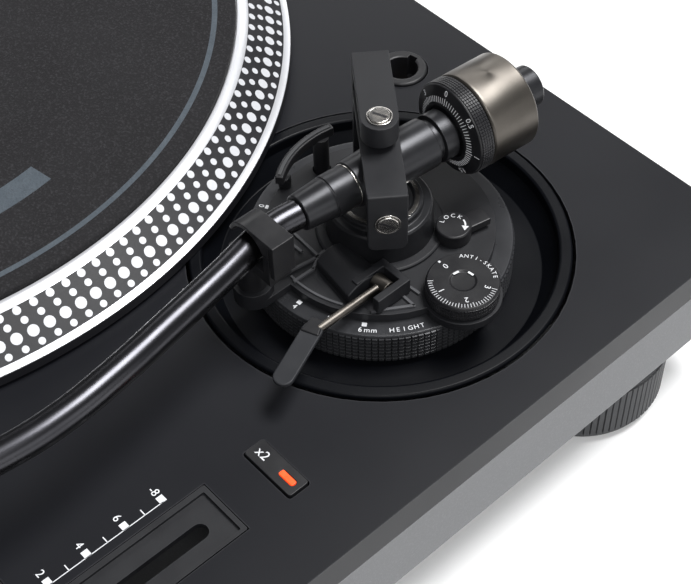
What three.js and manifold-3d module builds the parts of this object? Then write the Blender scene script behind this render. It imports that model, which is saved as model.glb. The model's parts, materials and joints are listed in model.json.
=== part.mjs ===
// Direct-drive record player: plinth, platter, motor, S-shaped tonearm on a height-adjustable base, controls.
// Millimetres, +X to the player's right, +Y to its back, +Z up. The origin is on the ground, at the middle.
import * as THREE from 'three';
import { mergeVertices } from 'three/addons/utils/BufferGeometryUtils.js';
import Module from 'manifold-3d';

const wasm = await Module();
wasm.setup();

// Driving dimensions
const BODY_W = 453;
const BODY_D = 353;
const DECK_Z = 68; // top of the deck above the ground
const DECK_SIDE_H = 12.3; // metal side of the upper chassis
const BODY_H = 38; // deck top to the case's underside
const SEAM = 0.3; // gap kept where two pieces meet
const SPINDLE_X = -46.2; // platter centre from the middle of the body
const SPINDLE_Y = -1.2;
const PIVOT_X = 196.7; // tonearm pivot from the platter centre; 215 mm away
const PIVOT_Y = 86.7;
const PLATTER_R = 166;
const RIM_INNER_R = 149.4;
const RIM_TOP_Z = 15.3;
const RIM_LOW_Z = 5.2;
const MAT_R = 147.5;
const MAT_TOP_Z = 17;
const WELL_R = 61.7;
const WELL_FLOOR_Z = -8.6;
const RING_R = 42; // height adjustment ring
const RING_TOP_Z = 5.5;
const RING_LOW_Z = -6.9;
const PLATE_R = 36.2; // arm base plate
const PLATE_LOW_Z = RING_TOP_Z + SEAM;
const PLATE_TOP_Z = 8.7;
const TURRET_TOP_Z = 20;
const ARM_Z = 34; // height of the arm tube's axis
const ARM_TURN = 5.15; // degrees: the parked arm's front points this far towards the platter
const GIMBAL_TURN = -37; // degrees from +X: direction of the horizontal pivot pins
const YOKE_TOP_Z = 55;
const STYLUS_Z = MAT_TOP_Z + 1.9;
const FOOT_R = 30;

const LEFT = -BODY_W / 2 - SPINDLE_X; // the deck's edges as seen from the platter centre
const RIGHT = BODY_W / 2 - SPINDLE_X;
const FRONT = -BODY_D / 2 - SPINDLE_Y;
const BACK = BODY_D / 2 - SPINDLE_Y;

// Sides of round pieces, by size
const LARGE = 60;
const MEDIUM = 32;
const SMALL = 18;

const rad = THREE.MathUtils.degToRad;

// Solids: closed three.js geometries joined and cut
function solid(geometry) {
  const bare = geometry.clone();
  bare.deleteAttribute('normal');
  bare.deleteAttribute('uv');
  const merged = mergeVertices(bare, 1e-4);
  const points = merged.attributes.position.array;
  const index = Array.from(merged.index.array);
  if (signedVolume(points, index) < 0) {
    for (let i = 0; i < index.length; i += 3) {
      [index[i], index[i + 1]] = [index[i + 1], index[i]];
    }
  }
  return new wasm.Manifold(new wasm.Mesh({
    numProp: 3,
    vertProperties: new Float32Array(points),
    triVerts: new Uint32Array(index),
  }));
}

function signedVolume(points, index) {
  const a = new THREE.Vector3();
  const b = new THREE.Vector3();
  const c = new THREE.Vector3();
  let total = 0;
  for (let i = 0; i < index.length; i += 3) {
    a.fromArray(points, index[i] * 3);
    b.fromArray(points, index[i + 1] * 3);
    c.fromArray(points, index[i + 2] * 3);
    total += a.dot(b.cross(c)) / 6;
  }
  return total;
}

function geometryOf(shape) {
  const mesh = shape.getMesh();
  const geometry = new THREE.BufferGeometry();
  geometry.setAttribute('position', new THREE.BufferAttribute(mesh.vertProperties, 3));
  geometry.setIndex(new THREE.BufferAttribute(mesh.triVerts, 1));
  geometry.computeVertexNormals();
  return geometry;
}

function joined(first, ...others) {
  return others.reduce((whole, next) => whole.add(next), first);
}

function cut(first, ...tools) {
  return tools.reduce((whole, tool) => whole.subtract(tool), first);
}

// Shapes, all standing on +Z unless they say otherwise
function lathe(profile, segments = MEDIUM) {
  const points = profile.map(([r, z]) => new THREE.Vector2(r, z));
  return solid(new THREE.LatheGeometry(points, segments).rotateX(Math.PI / 2));
}

function disc(r, low, high, x = 0, y = 0, segments = MEDIUM) {
  const shape = new THREE.CylinderGeometry(r, r, high - low, segments).rotateX(Math.PI / 2);
  return solid(shape.translate(x, y, (low + high) / 2));
}

function ring(inner, outer, low, high, segments = MEDIUM) {
  return lathe([[inner, low], [outer, low], [outer, high], [inner, high], [inner, low]], segments);
}

function block(x0, x1, y0, y1, z0, z1) {
  const shape = new THREE.BoxGeometry(x1 - x0, y1 - y0, z1 - z0);
  return solid(shape.translate((x0 + x1) / 2, (y0 + y1) / 2, (z0 + z1) / 2));
}

function roundedOutline(x0, x1, y0, y1, corner) {
  const shape = new THREE.Shape();
  shape.moveTo(x0 + corner, y0);
  shape.lineTo(x1 - corner, y0);
  shape.absarc(x1 - corner, y0 + corner, corner, -Math.PI / 2, 0);
  shape.lineTo(x1, y1 - corner);
  shape.absarc(x1 - corner, y1 - corner, corner, 0, Math.PI / 2);
  shape.lineTo(x0 + corner, y1);
  shape.absarc(x0 + corner, y1 - corner, corner, Math.PI / 2, Math.PI);
  shape.lineTo(x0, y0 + corner);
  shape.absarc(x0 + corner, y0 + corner, corner, Math.PI, Math.PI * 1.5);
  return shape;
}

function slab(outline, low, high, curveSegments = 3) {
  const shape = new THREE.ExtrudeGeometry(outline, { depth: high - low, bevelEnabled: false, curveSegments });
  return solid(shape.translate(0, 0, low));
}

function roundedSlab(x0, x1, y0, y1, low, high, corner) {
  return slab(roundedOutline(x0, x1, y0, y1, corner), low, high);
}

function stadium(length, width, low, high) {
  return roundedSlab(-length / 2, length / 2, -width / 2, width / 2, low, high, width / 2 - 0.01);
}

// A lathe along the arm's own line: profile is [radius, distance forward of the pivot]
function armLathe(profile, segments = 20) {
  const points = profile.map(([r, along]) => new THREE.Vector2(r, -along));
  return solid(new THREE.LatheGeometry(points, segments));
}

const player = new THREE.Group();
player.position.set(SPINDLE_X, SPINDLE_Y, DECK_Z);

function add(name, shape, look, parent = player) {
  const geometry = shape.isBufferGeometry ? shape : geometryOf(shape);
  const mesh = new THREE.Mesh(geometry, new THREE.MeshStandardMaterial({ ...look }));
  mesh.name = name;
  parent.add(mesh);
  return mesh;
}

const DECK_PAINT = { color: 0x2b2c31, roughness: 0.55, metalness: 0.3 };
const CASE_GREY = { color: 0x6f7173, roughness: 0.85, metalness: 0 };
const BLACK_PLASTIC = { color: 0x111214, roughness: 0.5, metalness: 0 };
const BLACK_METAL = { color: 0x232427, roughness: 0.45, metalness: 0.6 };
const DARK_CHROME = { color: 0x3a3b3f, roughness: 0.15, metalness: 1 };
const GUN_METAL = { color: 0x4b4742, roughness: 0.25, metalness: 1 };
const STEEL = { color: 0xc9c9c7, roughness: 0.25, metalness: 1 };
const ALUMINIUM = { color: 0xb9bbbd, roughness: 0.35, metalness: 1 };
const RUBBER = { color: 0x1d1e20, roughness: 0.9, metalness: 0 };
const COPPER = { color: 0x9a5a32, roughness: 0.4, metalness: 1 };
const BOARD_GREEN = { color: 0x1f4a33, roughness: 0.6, metalness: 0 };
const MAGNET = { color: 0x3a3a3c, roughness: 0.7, metalness: 0.2 };
const BRASS = { color: 0xb08d45, roughness: 0.3, metalness: 1 };
const LAMP_RED = { color: 0xb8281c, roughness: 0.3, metalness: 0 };
const LAMP_ORANGE = { color: 0xe05a1a, roughness: 0.4, metalness: 0 };

// Controls: where each one sits on the deck, from the platter centre
const FADER = { x0: 229.4, x1: 248.7, yFront: -136.6, yBack: -10.8, slotX: 240, slotW: 5.2, travel: 50 };
const FADER_Y = (FADER.yFront + FADER.yBack) / 2;
const X2_BUTTON = { x: 239.1, y: 7.5, w: 20, d: 7.2 };
const RESET_BUTTON = { x: 217, y: FADER_Y, w: 7, d: 7 };
const START_BUTTON = { x: -151.5, y: -150.5, w: 36, d: 34 };
const SPEED_33 = { x: -118, y: -160.5, w: 15, d: 8 };
const SPEED_45 = { x: -99, y: -160.5, w: 15, d: 8 };
const TARGET_LAMP = { x: 121, y: -137, r: 6.5 };
const STROBE = { x: -152, y: -110, r: 20, top: 22 };
const SOCKET = { x: 141.5, y: 148.4, r: 9 };
const BUTTONS = [X2_BUTTON, RESET_BUTTON, START_BUTTON, SPEED_33, SPEED_45];
const BUTTON_GAP = 0.4;
const BUTTON_FOOT_Z = -6;

// Plinth: metal upper chassis over a heavy case
const DECK_T = 3;
const MOTOR_HOLE_R = 64;
const CORNER_R = 5;
const TERMINALS = { x0: -40, x1: 66, z0: -33, z1: -17 };
const INLET = { x0: 85.5, x1: 114.5, z0: -33, z1: -15 };

function buttonHole({ x, y, w, d }) {
  const halfW = w / 2 + BUTTON_GAP;
  const halfD = d / 2 + BUTTON_GAP;
  return roundedSlab(x - halfW, x + halfW, y - halfD, y + halfD, -DECK_T - 1, 1, 1.2);
}

function makeChassis() {
  const shell = cut(
    roundedSlab(LEFT, RIGHT, FRONT, BACK, -DECK_SIDE_H, 0, CORNER_R),
    roundedSlab(LEFT + 4, RIGHT - 4, FRONT + 4, BACK - 4, -DECK_SIDE_H - 1, -DECK_T, CORNER_R - 2),
    disc(MOTOR_HOLE_R, -DECK_T - 1, 1, 0, 0, LARGE),
    disc(WELL_R, -DECK_T - 1, 1, PIVOT_X, PIVOT_Y, LARGE),
    disc(SOCKET.r + SEAM, -DECK_T - 1, 1, SOCKET.x, SOCKET.y),
    disc(STROBE.r - 2, -DECK_T - 1, 1, STROBE.x, STROBE.y),
    disc(TARGET_LAMP.r + BUTTON_GAP, -DECK_T - 1, 1, TARGET_LAMP.x, TARGET_LAMP.y, 20),
    block(FADER.x0 - SEAM, FADER.x1 + SEAM, FADER.yFront - SEAM, FADER.yBack + SEAM, -DECK_T - 1, 1),
    ...BUTTONS.map(buttonHole),
  );
  add('deck_chassis', shell, DECK_PAINT);
}

function backWindow({ x0, x1, z0, z1 }) {
  return block(x0 - SEAM, x1 + SEAM, BACK - 7, BACK + 1, z0 - SEAM, z1 + SEAM);
}

function makeCase() {
  const top = -DECK_SIDE_H - SEAM;
  const shell = cut(
    roundedSlab(LEFT, RIGHT, FRONT, BACK, -BODY_H, top, CORNER_R),
    roundedSlab(LEFT + 6, RIGHT - 6, FRONT + 6, BACK - 6, -BODY_H + 4, top + 1, CORNER_R - 3),
    backWindow(TERMINALS),
    backWindow(INLET),
  );
  add('bottom_case', shell, CASE_GREY);
}

const FOOT_INSET_X = 30.5;
const FOOT_INSET_Y = 41;

function makeFeet() {
  const low = -DECK_Z;
  const high = -BODY_H - SEAM;
  const profile = [
    [0, low], [FOOT_R - 3, low], [FOOT_R - 1, low + 2], [FOOT_R, low + 20], [FOOT_R - 0.5, low + 25.5],
    [FOOT_R - 4, low + 27], [12, low + 27], [12, high], [0, high],
  ];
  const corners = {
    foot_front_left: [LEFT + FOOT_INSET_X, FRONT + FOOT_INSET_Y],
    foot_front_right: [RIGHT - FOOT_INSET_X, FRONT + FOOT_INSET_Y],
    foot_back_left: [LEFT + FOOT_INSET_X, BACK - FOOT_INSET_Y],
    foot_back_right: [RIGHT - FOOT_INSET_X, BACK - FOOT_INSET_Y],
  };
  for (const [name, [x, y]] of Object.entries(corners)) {
    add(name, lathe(profile, 24), RUBBER).position.set(x, y, 0);
  }
}

// Drive: a fixed bearing and coils, and a platter carrying the magnet
const SPINDLE_R = 3.6;

function makeDrive() {
  add('bearing_housing', lathe([
    [0, -30], [SPINDLE_R + 0.1, -30], [SPINDLE_R + 0.1, -4], [11, -4], [11, -29], [46, -29], [46, -33.6],
    [0, -33.6],
  ]), ALUMINIUM);
  add('motor_stator', ring(14, 44, -28.6, -12), COPPER);
  add('rotor_magnet', ring(47, 57, -24, 1.2), MAGNET);
  add('spindle', lathe([
    [0, -29], [SPINDLE_R, -29], [SPINDLE_R, MAT_TOP_Z + 9], [2.6, MAT_TOP_Z + 12], [0, MAT_TOP_Z + 12.8],
  ], 24), STEEL);
  add('platter', lathe([
    [SPINDLE_R + 0.1, 1.6], [14, 1.6], [14, 9.5], [146, 9.5], [150, 1.6], [PLATTER_R, 1.6],
    [PLATTER_R, RIM_LOW_Z], [PLATTER_R - 2.4, RIM_LOW_Z + 0.7], [RIM_INNER_R + 2.4, RIM_TOP_Z - 0.9],
    [RIM_INNER_R, RIM_TOP_Z],
    [MAT_R + 0.4, RIM_TOP_Z], [MAT_R + 0.4, 13.9], [SPINDLE_R + 0.1, 13.9], [SPINDLE_R + 0.1, 1.6],
  ], LARGE), ALUMINIUM);
  add('platter_mat', ring(SPINDLE_R + 0.4, MAT_R, 14, MAT_TOP_Z, LARGE), RUBBER);
}

// Electronics inside the case
function makeElectronics() {
  add('main_board', block(-150, -60, 60, 150, -31, -29.2), BOARD_GREEN);
  add('power_supply', roundedSlab(20, 84, 96, 144, -33.4, -16, 3), { ...BLACK_METAL, metalness: 0.2 });
  const plateFace = BACK - 9.8;
  const [plateLow, plateHigh] = [TERMINALS.z0 - 0.5, -DECK_SIDE_H - 1];
  const plate = block(TERMINALS.x0 - 4, TERMINALS.x1 + 4, plateFace - 2, plateFace, plateLow, plateHigh);
  add('terminal_plate', plate, BLACK_METAL);
  const midZ = (TERMINALS.z0 + TERMINALS.z1) / 2;
  const jackProfile = [[0, 0.3], [6, 0.3], [6, 2.4], [4.1, 2.4], [4.1, 9], [1.7, 9], [1.7, 3], [0, 3]];
  for (const [name, x] of [['phono_jack_left', 12], ['phono_jack_right', 28]]) {
    const jack = add(name, lathe(jackProfile, 16), BRASS);
    jack.position.set(x, plateFace, midZ);
    jack.rotation.x = -Math.PI / 2;
  }
  const postProfile = [[0, 0.3], [2, 0.3], [2, 2.5], [4.4, 2.5], [4.4, 8], [0, 8]];
  const post = add('ground_terminal', lathe(postProfile, 12), STEEL);
  post.position.set(-18, plateFace, midZ);
  post.rotation.x = -Math.PI / 2;
  const inlet = cut(
    block(INLET.x0, INLET.x1, BACK - 22, BACK - 0.5, INLET.z0, INLET.z1),
    roundedSlab(INLET.x0 + 3.5, INLET.x1 - 3.5, INLET.z0 + 2.5, INLET.z1 - 2.5, 0, 20, 2)
      .rotate([90, 0, 0]).translate([0, BACK + 2, 0]),
  );
  add('mains_inlet', inlet, BLACK_PLASTIC);
}

// Deck controls
function buttonCap({ x, y, w, d }, high) {
  return roundedSlab(x - w / 2, x + w / 2, y - d / 2, y + d / 2, BUTTON_FOOT_Z, high, 1);
}

function makeButton(name, place, high, look) {
  add(name, buttonCap(place, high), look);
}

function makeControls() {
  const halfSlot = FADER.travel + 5.4;
  const panel = cut(
    roundedSlab(FADER.x0, FADER.x1, FADER.yFront, FADER.yBack, -DECK_T, 0.1, 0.6),
    roundedSlab(FADER.x0 + 1.8, FADER.x1 - 1.2, FADER.yFront + 1.5, FADER.yBack - 1.5, -1, 1, 0.5),
    roundedSlab(FADER.slotX - FADER.slotW / 2, FADER.slotX + FADER.slotW / 2, FADER_Y - halfSlot,
      FADER_Y + halfSlot, -DECK_T - 1, 1, FADER.slotW / 2 - 0.01),
  );
  add('pitch_scale_panel', panel, DECK_PAINT);
  const knob = joined(
    roundedSlab(FADER.slotX - 6.2, FADER.slotX + 6.2, FADER_Y - 11, FADER_Y + 11, -0.6, 9, 1.5),
    block(FADER.slotX - 1.6, FADER.slotX + 1.6, FADER_Y - 4, FADER_Y + 4, -8, 0),
  );
  add('pitch_slider', knob, BLACK_PLASTIC);
  const { x, y } = X2_BUTTON;
  const lampGap = roundedSlab(x + 1.9, x + 8.1, y - 1.1, y + 1.1, -0.8, 3, 1);
  add('x2_button', cut(buttonCap(X2_BUTTON, 1), lampGap), BLACK_PLASTIC);
  add('x2_lamp', roundedSlab(x + 2, x + 8, y - 1, y + 1, -0.6, 1.1, 0.9), LAMP_ORANGE);
  makeButton('reset_button', RESET_BUTTON, 1, BLACK_PLASTIC);
  makeButton('start_stop_button', START_BUTTON, 3, BLACK_METAL);
  makeButton('speed_33_button', SPEED_33, 2, BLACK_METAL);
  makeButton('speed_45_button', SPEED_45, 2, BLACK_METAL);
  const socketProfile = [
    [0, -16], [5.6, -16], [5.6, 0.6], [6.6, 1], [SOCKET.r - 0.6, 1], [SOCKET.r, 0.5], [SOCKET.r, -DECK_T - 2],
    [7.6, -DECK_T - 2], [7.6, -17.5], [0, -17.5],
  ];
  const notch = block(-1.6, 1.6, 0, 7, -8, 2).rotate([0, 0, 10]);
  const socket = cut(lathe(socketProfile, 24), notch);
  add('headshell_socket', socket, BLACK_PLASTIC).position.set(SOCKET.x, SOCKET.y, 0);
  const lamp = lathe([
    [0, -20], [TARGET_LAMP.r, -20], [TARGET_LAMP.r, 0.8], [TARGET_LAMP.r - 0.8, 1.4], [0, 1.4],
  ], 20);
  add('target_lamp', lamp, BLACK_METAL).position.set(TARGET_LAMP.x, TARGET_LAMP.y, 0);
}

function makeStrobe() {
  const { r, top } = STROBE;
  const tower = lathe([[0, 0.2], [r, 0.2], [r, top - 1.5], [r - 1.5, top], [5, top], [5, 12], [0, 12]]);
  const towardsPlatter = Math.atan2(-STROBE.y, -STROBE.x);
  const turn = THREE.MathUtils.radToDeg(towardsPlatter);
  const windowGap = block(r - 5, r + 1, -6.4, 6.4, 2.6, 11.4).rotate([0, 0, turn]);
  add('strobe_tower', cut(tower, windowGap), BLACK_METAL).position.set(STROBE.x, STROBE.y, 0);
  const lens = add('strobe_lens', block(r - 4.7, r - 1, -6, 6, 3, 11), LAMP_RED);
  lens.position.set(STROBE.x, STROBE.y, 0);
  lens.rotation.z = towardsPlatter;
  const knob = lathe([
    [0, 12.4], [4.6, 12.4], [4.6, top + 0.5], [15.5, top + 0.5], [15.5, top + 6], [14, top + 7.5],
    [0, top + 7.5],
  ]);
  const pointer = block(4, 16, -0.8, 0.8, top + 7, top + 8).rotate([0, 0, 60]);
  add('power_knob', cut(knob, pointer), BLACK_METAL).position.set(STROBE.x, STROBE.y, 0);
}

// Tonearm well, height ring and arm base, all round the pivot
const arm = new THREE.Group();
arm.position.set(PIVOT_X, PIVOT_Y, 0);
player.add(arm);

const RING_BORE_R = 31.2;
const COLUMN_R = 30.7;
const PILLAR_R = 24;
const ANTI_SKATE = { x: 37.2, y: -0.8, r: 11.25, low: PLATE_TOP_Z + SEAM, top: 14.7 };
const REST = { x: -7, y: -45.5, r: 6.2, top: 12 };
const LOCK = { x: 18.6, y: 13.6, r: 5.6 };
const CUE = { x: 20.4, y: -18, z: 12.2 };
const LIFTER = { angle: 174, r: 31.2 };

function makeArmBase() {
  add('tonearm_well', lathe([
    [33, WELL_FLOOR_Z - 2], [52, WELL_FLOOR_Z - 2], [58.2, -4], [58.2, -1], [60.6, -1], [60.6, 0.2],
    [60, 0.9], [57, 1.1], [56.4, 0.6], [56.2, -3], [51.6, WELL_FLOOR_Z], [33, WELL_FLOOR_Z],
    [33, WELL_FLOOR_Z - 2],
  ], LARGE), DECK_PAINT, arm);
  add('arm_pillar', ring(16, PILLAR_R, -33.6, -1), ALUMINIUM, arm);
  add('height_ring', lathe([
    [RING_BORE_R, RING_LOW_Z], [RING_R - 0.8, RING_LOW_Z], [RING_R + 0.2, RING_LOW_Z + 0.8],
    [RING_R, RING_TOP_Z - 1], [RING_R - 0.9, RING_TOP_Z], [RING_BORE_R, RING_TOP_Z],
    [RING_BORE_R, RING_LOW_Z],
  ], 48), BLACK_METAL, arm);
  const column = ring(PILLAR_R + 0.5, COLUMN_R, -15, PLATE_LOW_Z + 1, 48);
  const plate = joined(
    disc(PLATE_R, PLATE_LOW_Z, PLATE_TOP_Z, 0, 0, 48),
    disc(ANTI_SKATE.r + 0.9, PLATE_LOW_Z, PLATE_TOP_Z, ANTI_SKATE.x, ANTI_SKATE.y),
    disc(REST.r, PLATE_LOW_Z, REST.top, REST.x, REST.y, 20),
    block(REST.x - REST.r, REST.x + REST.r, REST.y, -28, PLATE_LOW_Z, PLATE_TOP_Z),
    column,
  );
  const [slotLow, slotHigh] = [PLATE_LOW_Z + 1.4, PLATE_TOP_Z + 1];
  const leverSlot = block(CUE.x - 3.2, CUE.x + 3.2, CUE.y - 8, CUE.y + 4.5, slotLow, slotHigh);
  const lifterHole = disc(3, PLATE_LOW_Z - 1, PLATE_TOP_Z + 1, ...polar(LIFTER.r, LIFTER.angle), 14);
  add('arm_base_plate', cut(plate, leverSlot, lifterHole), BLACK_METAL, arm);
  add('arm_turret', lathe([
    [0, PLATE_TOP_Z + SEAM], [16.8, PLATE_TOP_Z + SEAM], [16, TURRET_TOP_Z - 1], [15.4, TURRET_TOP_Z],
    [13.4, TURRET_TOP_Z], [12.8, TURRET_TOP_Z + 2], [0, TURRET_TOP_Z + 2],
  ]), BLACK_METAL, arm);
}

function polar(r, degrees) {
  return [r * Math.cos(rad(degrees)), r * Math.sin(rad(degrees))];
}

// Gimbal: a fixed yoke with the vertical pivot, and a swinging frame with the horizontal pivots
const FRAME_W = 12;
const FRAME_REACH = 23;
const FRAME_TOP_Z = 45.2;
const FRAME_LOW_Z = 22.7;
const POST_REACH = 28.7;
const POST_INNER = 25.2;

function makeGimbal() {
  const gimbal = new THREE.Group();
  gimbal.rotation.z = rad(GIMBAL_TURN);
  arm.add(gimbal);
  const half = FRAME_W / 2;
  const topStrip = joined(
    block(-POST_REACH, 0, -5.7, 5.7, 50.5, YOKE_TOP_Z),
    disc(5.7, 47.6, YOKE_TOP_Z, 0, 0, SMALL),
  );
  const post = block(-POST_REACH, -POST_INNER, -5.7, 5.7, PLATE_TOP_Z + SEAM, YOKE_TOP_Z);
  const boltGap = disc(2.6, 47, YOKE_TOP_Z + 1, 0, 0, SMALL);
  add('gimbal_yoke', cut(joined(topStrip, post), boltGap), BLACK_METAL, gimbal);
  add('top_pivot_screw', lathe([
    [0, FRAME_TOP_Z + SEAM], [1.6, 46.6], [2.3, 47.4], [2.3, YOKE_TOP_Z + SEAM], [3.9, YOKE_TOP_Z + SEAM],
    [3.9, YOKE_TOP_Z + 0.9], [0, YOKE_TOP_Z + 0.9],
  ], 16), STEEL, gimbal);
  const frame = cut(
    block(-FRAME_REACH, FRAME_REACH, -half, half, FRAME_LOW_Z, FRAME_TOP_Z),
    block(-FRAME_REACH + 2.6, FRAME_REACH - 2.6, -half - 1, half + 1, FRAME_LOW_Z + 2.2, FRAME_TOP_Z - 2),
    disc(2.4, -FRAME_REACH - 1, FRAME_REACH + 1, 0, 0, 16).rotate([0, 90, 0]).translate([0, 0, ARM_Z]),
  );
  add('gimbal_frame', frame, BLACK_METAL, gimbal);
  const screw = lathe([[0, 9.6], [1, 10.6], [2, 12], [2, FRAME_REACH + SEAM], [3.8, FRAME_REACH + SEAM],
    [3.8, FRAME_REACH + 0.9], [0, FRAME_REACH + 0.9]], 16);
  for (const [name, turn] of [['side_pivot_screw_right', 90], ['side_pivot_screw_left', -90]]) {
    const side = add(name, screw, STEEL, gimbal);
    side.position.z = ARM_Z;
    side.rotation.y = rad(turn);
  }
}

// Arm: tube, sleeves and rear shaft on one straight line, then the S-bend to the headshell
const TUBE_R = 4.65;
const SECTION_SIDES = 12;
const HEAD_TURN = 22; // degrees: the headshell's angle to the arm's rear line
// The tube's bends, each point as [forward of the pivot, to the right of the arm's line]
const S_ROUTE = [
  [30.5, 0], [38, 0], [46, 1.6], [60, 6], [82, 12.1], [104, 17.9], [121, 21.2], [137, 22.2], [152, 20.9],
  [164, 17.8], [176, 13.2],
];

const armLine = new THREE.Group();
armLine.position.z = ARM_Z;
armLine.rotation.z = rad(-ARM_TURN);
arm.add(armLine);

function circleOutline(r, sides) {
  return new THREE.Shape(Array.from({ length: sides }, (_, i) => {
    const angle = (i / sides) * Math.PI * 2;
    return new THREE.Vector2(r * Math.cos(angle), r * Math.sin(angle));
  }));
}

function makeArm() {
  const points = S_ROUTE.map(([along, aside]) => new THREE.Vector3(aside, -along, 0));
  const route = new THREE.CatmullRomCurve3(points);
  const tube = new THREE.ExtrudeGeometry(circleOutline(TUBE_R, SECTION_SIDES),
    { steps: 24, extrudePath: route, bevelEnabled: false });
  add('arm_tube', solid(tube), DARK_CHROME, armLine);
  const sleeve = [[0, 12], [6.8, 12], [6.8, 20], [6.4, 20.3], [5.7, 29.9], [5.4, 30.2], [0, 30.2]];
  add('front_sleeve', armLathe(sleeve), BLACK_METAL, armLine);
  const hub = cut(
    armLathe([[0, -17.6], [8.1, -17.6], [8.1, 0], [7.4, 11.7], [0, 11.7]]),
    ...[0, 180].map((side) => disc(2.5, 6, 12, 0, 0, 14).rotate([0, 90, side + ARM_TURN + GIMBAL_TURN])),
  );
  add('arm_hub', hub, BLACK_METAL, armLine);
  add('rear_shaft', armLathe([
    [0, -55], [5.5, -54.6], [5.5, -25], [8, -24.6], [8, -20], [6.6, -19.8], [6.6, -17.9], [0, -17.9],
  ]), BLACK_METAL, armLine);
}

function makeCounterweight() {
  add('weight_bush', armLathe([
    [5.8, -26.4], [8.4, -26.4], [8.4, -49.9], [6.8, -50.2], [6.8, -59.4], [6.2, -60], [5.8, -60],
    [5.8, -26.4],
  ]), BLACK_METAL, armLine);
  add('counterweight', armLathe([
    [8.7, -32.4], [14.6, -32.4], [15.4, -33], [15.6, -49], [15, -49.8], [8.7, -49.8], [8.7, -32.4],
  ], 28), GUN_METAL, armLine);
  add('force_dial', armLathe([
    [8.7, -25.2], [9.4, -25.2], [15.2, -26.9], [15.8, -27.4], [15.8, -32.1], [8.7, -32.1], [8.7, -25.2],
  ], 28), BLACK_PLASTIC, armLine);
}

// Headshell end, in a group that starts where the tube stops and points along the headshell
const headLine = new THREE.Group();
const TUBE_END = S_ROUTE[S_ROUTE.length - 1];
headLine.position.set(TUBE_END[1], -TUBE_END[0], 0);
headLine.rotation.z = rad(-HEAD_TURN);
armLine.add(headLine);
const STYLUS_ALONG = 57.9; // puts the stylus 230 mm from the pivot

function makeHeadshell() {
  const collar = armLathe([[0, 0.4], [5.6, 0.4], [6.4, 1.4], [6.4, 10], [5.4, 12], [0, 12]], SMALL);
  add('locking_collar', collar, DARK_CHROME, headLine);
  const low = -4;
  const outline = new THREE.Shape();
  outline.moveTo(-4, -12.4);
  outline.lineTo(-4, -18);
  outline.lineTo(-9.5, -25);
  outline.lineTo(-9.5, -62);
  outline.quadraticCurveTo(-9, -68, 0, -68.5);
  outline.quadraticCurveTo(9, -68, 9.5, -62);
  outline.lineTo(9.5, -25);
  outline.lineTo(4, -18);
  outline.lineTo(4, -12.4);
  const screwSlots = [-6.35, 6.35].map((x) => block(x - 1.2, x + 1.2, -60, -44, low - 1, 2));
  const fingerLift = block(9, 21, -64, -60, -1.4, 0.4);
  const shell = cut(joined(slab(outline, low, 0.4, 6), fingerLift), ...screwSlots);
  add('headshell', shell, BLACK_METAL, headLine);
  const body = joined(
    block(-8.6, 8.6, -61, -37, low - 9.2, low - SEAM),
    block(-4, 4, -65, -61, low - 7, low - 2),
  );
  add('cartridge', body, BLACK_PLASTIC, headLine);
  const guardLow = STYLUS_Z - ARM_Z;
  const stylus = joined(
    block(-3, 3, -59.5, -46, low - 10.4, low - 9.5),
    solid(new THREE.ConeGeometry(0.9, 1.4, 10).rotateX(-Math.PI / 2)
      .translate(0, -STYLUS_ALONG, guardLow + 0.7)),
  );
  add('stylus', stylus, BLACK_PLASTIC, headLine);
}

// Arm fittings on the base
function makeFittings() {
  const restTop = ARM_Z - TUBE_R - 0.7;
  const wall = REST.x + 11.4;
  const [front, back] = [REST.y - 4, REST.y + 4];
  const saddle = joined(
    disc(4.6, REST.top + SEAM, restTop - 2, REST.x, REST.y, SMALL),
    block(REST.x - 4.5, wall + 2.6, front, back, restTop - 4, restTop),
    block(wall, wall + 2.6, front, back, restTop - 1, ARM_Z + 2),
  );
  add('arm_rest', saddle, BLACK_PLASTIC, arm);
  const hookLow = ARM_Z + TUBE_R + 1.9;
  const clip = joined(
    block(wall, wall + 2.6, front, back, ARM_Z + 2.3, hookLow + 1.8),
    block(REST.x - 3.4, wall + 4.9, front, back, hookLow, hookLow + 1.8),
    block(wall + 3.1, wall + 4.9, front + 0.6, back - 0.6, ARM_Z - 4.9, hookLow + 1.8),
  );
  add('arm_clip', clip, BLACK_PLASTIC, arm);
  makeCueing();
  const { x, y, r, low, top } = ANTI_SKATE;
  const knob = lathe([[0, low], [r - 0.4, low], [r, low + 0.5], [r, top - 0.8], [r - 0.7, top], [0, top]]);
  add('anti_skate_knob', knob, BLACK_PLASTIC, arm).position.set(x, y, 0);
  const lockTop = PLATE_TOP_Z + 5;
  const lever = joined(
    disc(LOCK.r, PLATE_TOP_Z + SEAM, lockTop, 0, 0, SMALL),
    block(-3, 3, 3, 12, PLATE_TOP_Z + 1.2, lockTop - 1),
  );
  add('lock_lever', lever.rotate([0, 0, -12]), BLACK_PLASTIC, arm).position.set(LOCK.x, LOCK.y, 0);
}

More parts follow.
